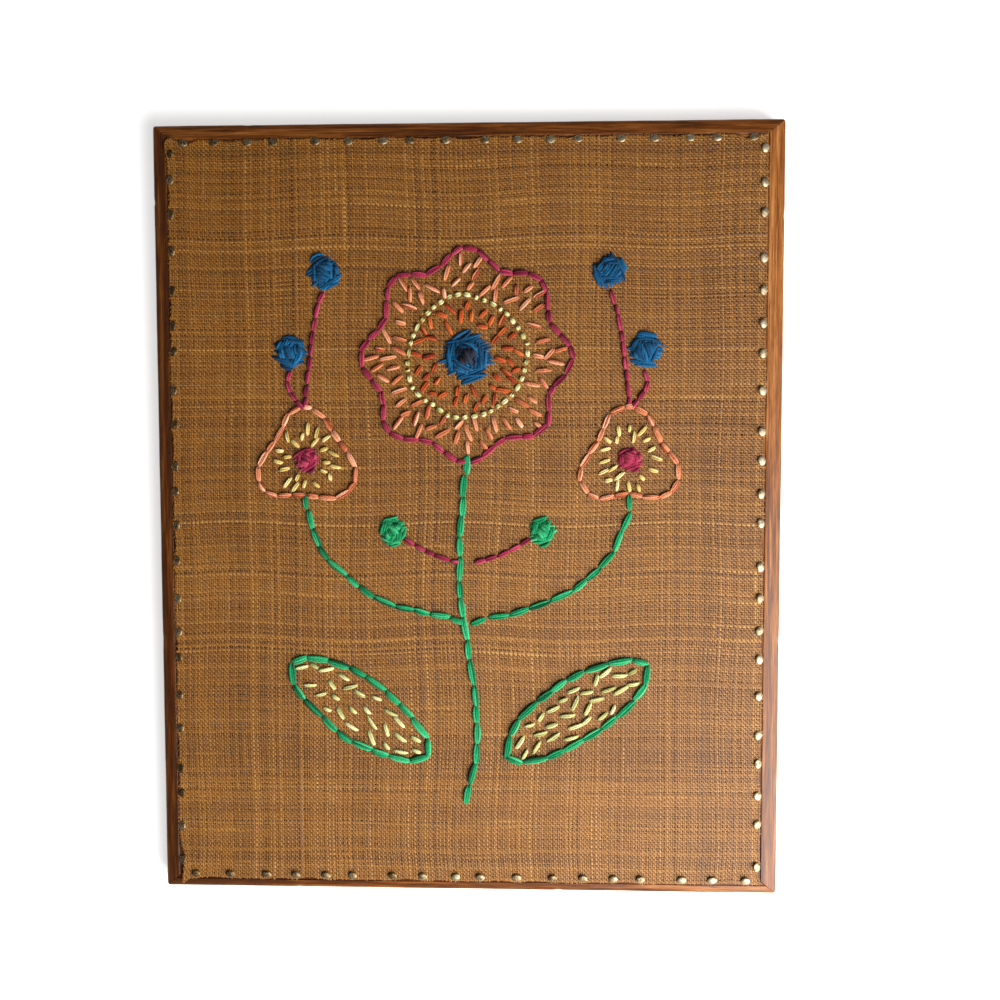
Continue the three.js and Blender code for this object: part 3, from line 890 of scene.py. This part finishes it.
BLOOM = {"x": 0.0, "y": 108.0, "radius": 68.0, "lobes": 8, "depth": 0.09, "turn": math.pi / 8}
RING_RADIUS = 41.0
HEART = {"x": 0.0, "y": 108.0, "radius": 18.0, "height": 3.4}
LEAF = {"x": 76.0, "y": -138.0, "length": 118.0, "width": 42.0, "turn": 0.6}
BRANCH = ((13.0, -72.0), (98.0, -62.0), (112.0, 2.0))
BLOSSOM = {"x": 112.0, "y": 38.0, "radius": 31.0, "lobes": 3, "depth": 0.2, "turn": -math.pi / 2}
BERRIES = [("low", 122.0, 112.0), ("high", 98.0, 166.0)]
BERRY_RADIUS = 12.0
JOINS = [
    ((2.0, -77.0), (7.0, -76.0), (13.0, -72.5)),
    ((112.0, 3.0), (112.4, 8.0), (112.0, 13.0)),
    ((0.4, 27.0), (0.6, 34.0), (0.2, 41.0)),
]
BUD = (52.0, -12.0, 10.0)
BUD_STALK = ((4.0, -34.0), (22.0, -32.0), (44.0, -17.0))
HANDS = [("right", 1.0), ("left", -1.0)]


# Dark, middle and light tone of each wool
WOOL_COLOURS = {
    "green": [(0.0, 0.075, 0.025), (0.006, 0.28, 0.10), (0.05, 0.48, 0.20)],
    "magenta": [(0.11, 0.004, 0.022), (0.31, 0.018, 0.056), (0.48, 0.06, 0.115)],
    "lime": [(0.33, 0.33, 0.10), (0.58, 0.58, 0.24), (0.76, 0.72, 0.40)],
    "blue": [(0.0, 0.020, 0.055), (0.001, 0.066, 0.165), (0.006, 0.135, 0.31)],
    "coral": [(0.34, 0.052, 0.014), (0.64, 0.21, 0.09), (0.86, 0.47, 0.30)],
    "rust": [(0.20, 0.018, 0.004), (0.46, 0.065, 0.010), (0.62, 0.15, 0.03)],
    "night": [(0.002, 0.002, 0.006), (0.006, 0.007, 0.016), (0.02, 0.025, 0.05)],
    "cream": [(0.45, 0.30, 0.07), (0.72, 0.55, 0.18), (0.84, 0.72, 0.36)],
}


def wool_materials():
    return {name: wool_material(f"wool_{name}", *tones) for name, tones in WOOL_COLOURS.items()}


def outline_work(wool):
    """Stitched outlines of the spray, one piece for each line of the part."""
    rng = np.random.default_rng(21)

    def line(name, path, colour, length, width, strands, gap=-0.1):
        start, end = back_stitches(by_hand(path, rng), rng, length, gap)
        batch = strand_tubes(start, end, rng, width, 1.9, strands)
        sewn(f"sewn_{name}", wool[colour], [batch], [f"stitch_{name}"])

    line("stem", swaying_line(-205.0, 27.0, 6.0), "green", 15.0, 4.8, 3)
    line("bloom", lobed_ring(**BLOOM), "magenta", 10.5, 3.9, 3)
    line("bloom_ring", lobed_ring(BLOOM["x"], BLOOM["y"], RING_RADIUS), "lime", 6.2, 3.2, 2, 0.34)
    for hand_name, hand in HANDS:
        line(f"leaf_{hand_name}", mirrored(leaf_ring(**LEAF), hand), "green", 14.5, 4.8, 3)
        line(f"branch_{hand_name}", mirrored(bent_line(*BRANCH), hand), "green", 14.0, 4.4, 3)
        line(f"blossom_{hand_name}", mirrored(lobed_ring(**BLOSSOM), hand), "coral", 10.0, 3.8, 3)


def pad_work(wool):
    """Heaped pads: the heart of the bloom and the four berries."""
    rng = np.random.default_rng(22)
    heart = knot_pad(rng, HEART["x"], HEART["y"], HEART["radius"], HEART["height"], (0.3, 1.5, 2.6))
    sewn("sewn_bloom_heart", wool["blue"], heart, ["stitch_bloom_heart"])
    for level, x, y in BERRIES:
        for hand_name, hand in HANDS:
            turn = rng.uniform(0, 3.1)
            pad = knot_pad(rng, hand * x, y, BERRY_RADIUS, 3.2, (turn, turn + 1.2, turn + 2.1))
            name = f"berry_{level}_{hand_name}"
            sewn(f"sewn_{name}", wool["blue"], pad, [f"stitch_{name}"])


def fill_work(wool):
    """Scattered seed stitches and accents inside the outlines."""
    rng = np.random.default_rng(23)

    def in_bloom(x, y):
        angle = math.atan2(y - BLOOM["y"], x - BLOOM["x"])
        edge = BLOOM["radius"] * (1 + BLOOM["depth"] * math.cos(8 * (angle - math.pi / 2)))
        return RING_RADIUS + 5 < math.hypot(x - BLOOM["x"], y - BLOOM["y"]) < edge - 6

    def radial(x, y):
        return math.atan2(y - BLOOM["y"], x - BLOOM["x"])

    start, end = seed_places(rng, in_bloom, (-80, 80, 28, 188), 7.4, 11.5, radial)
    sewn("sewn_petal_seeds", wool["coral"], [strand_tubes(start, end, rng, 3.1, 1.7, 2)])

    def round_heart(x, y):
        return HEART["radius"] + 5 < math.hypot(x - HEART["x"], y - HEART["y"]) < RING_RADIUS - 5

    start, end = seed_places(rng, round_heart, (-40, 40, 68, 148), 7.0, 10.0, radial)
    sewn("sewn_heart_seeds", wool["rust"], [strand_tubes(start, end, rng, 3.0, 1.7, 2)])

    turn = LEAF["turn"]
    leaf_seeds = []
    for _, hand in HANDS:
        def in_leaf(x, y):
            dx, dy = hand * x - LEAF["x"], y - LEAF["y"]
            along = dx * math.cos(turn) + dy * math.sin(turn)
            across = -dx * math.sin(turn) + dy * math.cos(turn)
            return (along / (LEAF["length"] / 2 - 8)) ** 2 + (across / (LEAF["width"] / 2 - 6)) ** 2 < 1

        def vein(x, y):
            return turn if hand > 0 else math.pi - turn

        box = (10, 150, -190, -85) if hand > 0 else (-150, -10, -190, -85)
        start, end = seed_places(rng, in_leaf, box, 8.4, 11.0, vein)
        leaf_seeds.append(strand_tubes(start, end, rng, 3.0, 1.7, 2))
    sewn("sewn_leaf_seeds", wool["lime"], leaf_seeds)

    hearts = []
    stalks = []
    for _, hand in HANDS:
        hearts += knot_pad(rng, hand * BLOSSOM["x"], BLOSSOM["y"], 8.5, 3.0, (0.5, 1.7, 2.7))
        for _, x, y in BERRIES:
            path = bent_line((hand * BLOSSOM["x"], 72.0), (hand * (x + 8), y - 24), (hand * x, y - 13))
            stalks.append(strand_tubes(*back_stitches(path, rng, 9.0), rng, 3.4, 1.7, 2))
    sewn("sewn_blossom_hearts", wool["magenta"], hearts)
    blossom_seeds = []
    joins = []
    buds = []
    for _, hand in HANDS:
        def in_blossom(x, y):
            return 13 < math.hypot(x - hand * BLOSSOM["x"], y - BLOSSOM["y"]) < 21

        def outward(x, y):
            return math.atan2(y - BLOSSOM["y"], x - hand * BLOSSOM["x"])

        middle = hand * BLOSSOM["x"]
        start, end = seed_places(rng, in_blossom, (middle - 24, middle + 24, 14, 62), 6.4, 8.5, outward)
        blossom_seeds.append(strand_tubes(start, end, rng, 2.8, 1.6, 2))
        for path in JOINS:
            tie = mirrored(bent_line(*path), hand)
            joins.append(strand_tubes(*back_stitches(tie, rng, 12.0), rng, 4.2, 1.8, 3))
        stalk = mirrored(bent_line(*BUD_STALK), hand)
        stalks.append(strand_tubes(*back_stitches(stalk, rng, 9.0), rng, 3.4, 1.7, 2))
        buds += knot_pad(rng, hand * BUD[0], BUD[1], BUD[2], 3.0, (0.2, 1.3, 2.4))
    sewn("sewn_blossom_seeds", wool["cream"], blossom_seeds)
    sewn("sewn_joins", wool["green"], joins)
    sewn("sewn_buds", wool["green"], buds)
    sewn("sewn_stalks", wool["magenta"], stalks)
    dark = knot_pad(rng, HEART["x"], HEART["y"], 7.5, 9.5, (0.9, 2.2))
    sewn("sewn_heart_eye", wool["night"], dark)


# Stage, light and camera (metres)

FLOOR_SIZE = 6.0
LIGHT_COLOUR = (1.0, 0.98, 0.95)
ROOM_LIGHT = 0.11
WINDOW_PLACE = (0.70, -0.63, 0.68)
WINDOW_SIZE = 1.1
WINDOW_POWER = 38.0
CAMERA_PLACE = (0.0564, 0.0629, 0.8445)
CAMERA_TURN = (-3.687, 2.317, 0.063)
CAMERA_LENS = 43.2


def studio():
    bpy.ops.mesh.primitive_plane_add(size=FLOOR_SIZE, location=(0, 0, 0))
    floor = bpy.context.object
    floor.name = "floor"
    floor.data.materials.append(floor_material())
    world = bpy.data.worlds.new("studio")
    bpy.context.scene.world = world
    world.use_nodes = True
    world.node_tree.nodes["Background"].inputs["Color"].default_value = (*LIGHT_COLOUR, 1.0)
    world.node_tree.nodes["Background"].inputs["Strength"].default_value = ROOM_LIGHT
    area_light("window", WINDOW_PLACE, (0.0, 0.0, 0.0), WINDOW_SIZE, WINDOW_POWER, LIGHT_COLOUR)


def area_light(name, place, target, size, power, colour):
    light = bpy.data.lights.new(name, "AREA")
    light.size = size
    light.energy = power
    light.color = colour
    lamp = bpy.data.objects.new(name, light)
    bpy.context.scene.collection.objects.link(lamp)
    aim_at(lamp, place, target)


def aim_at(thing, place, target):
    thing.location = place
    direction = mathutils.Vector(target) - mathutils.Vector(place)
    thing.rotation_euler = direction.to_track_quat("-Z", "Y").to_euler()


def photo_camera():
    """The photograph's view of the face, solved from the frame's four corners."""
    camera = bpy.data.cameras.new("camera")
    camera.sensor_width = 36.0
    camera.lens = CAMERA_LENS
    holder = bpy.data.objects.new("camera", camera)
    bpy.context.scene.collection.objects.link(holder)
    holder.rotation_mode = "ZYX"
    holder.location = CAMERA_PLACE
    holder.rotation_euler = [math.radians(angle) for angle in CAMERA_TURN]
    bpy.context.scene.camera = holder


def dress():
    wood = wood_material()
    steel = steel_material()
    for side in SIDES:
        frame_bar(side, wood)
        tack_row(side, steel)
    burlap()
    wool = wool_materials()
    outline_work(wool)
    pad_work(wool)
    fill_work(wool)
    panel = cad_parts["back_panel"]
    panel.material_slots[0].material = hardboard_material()


photo_camera()
studio()
dress()
bpy.context.scene.view_settings.view_transform = "Standard"
